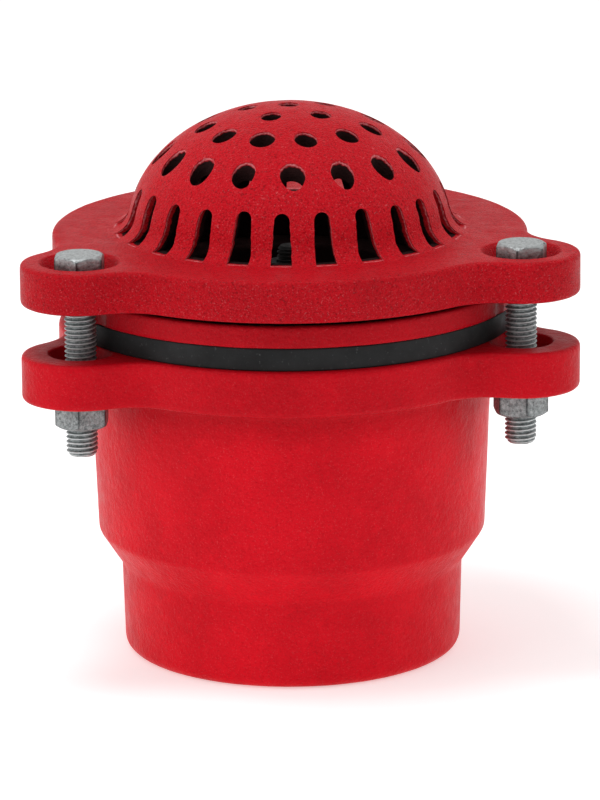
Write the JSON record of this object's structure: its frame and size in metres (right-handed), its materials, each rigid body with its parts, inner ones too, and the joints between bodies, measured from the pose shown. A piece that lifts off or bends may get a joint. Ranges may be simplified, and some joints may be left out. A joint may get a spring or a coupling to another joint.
{
  "type": "foot valve",
  "caption": "Red cast-iron foot valve with a domed strainer, a hinged rubber flap and a threaded pipe socket, joined by a bolted three-lug flange.",
  "frame": {"origin": "centre of the socket's end face, on the pipe axis", "axes": "+Z along the pipe axis from the socket towards the strainer; -Y is the side between two of the three bolts; the flap's hinge line runs along X on the +Y side"},
  "size_m": [0.2108, 0.2093, 0.2129],
  "materials": {
    "red_casting": "grey iron casting brushed with semi-gloss red paint",
    "black_rubber": "matt black sheet rubber",
    "galvanised_steel": "hot-dip galvanised, dull and mottled",
    "blackened_steel": "steel under thin black primer, dull from use",
    "bare_iron": "grey iron with thin black primer"
  },
  "bodies": {
    "housing": {"body": "red_casting", "strainer": "red_casting", "seat_ring": "red_casting", "rubber_gasket": "black_rubber", "flange_bolt_1": "galvanised_steel", "flange_bolt_2": "galvanised_steel", "flange_bolt_3": "galvanised_steel", "flange_nut_1": "galvanised_steel", "flange_nut_2": "galvanised_steel", "flange_nut_3": "galvanised_steel"},
    "flap": {"rubber_flap": "black_rubber", "flap_plate": "blackened_steel", "flap_weight": "bare_iron", "flap_bolt": "blackened_steel", "flap_lock_washer": "blackened_steel", "flap_nut": "blackened_steel"}
  },
  "joints": [
    {"name": "flap_hinge", "type": "hinge", "parent": "housing", "child": "flap", "pos_m": [0, 0.05, 0.1344], "axis": [1, 0, 0], "range_deg": [0, 60], "stiffness_Nm_per_rad": 2.4, "springref_deg": -11.46}
  ]
}
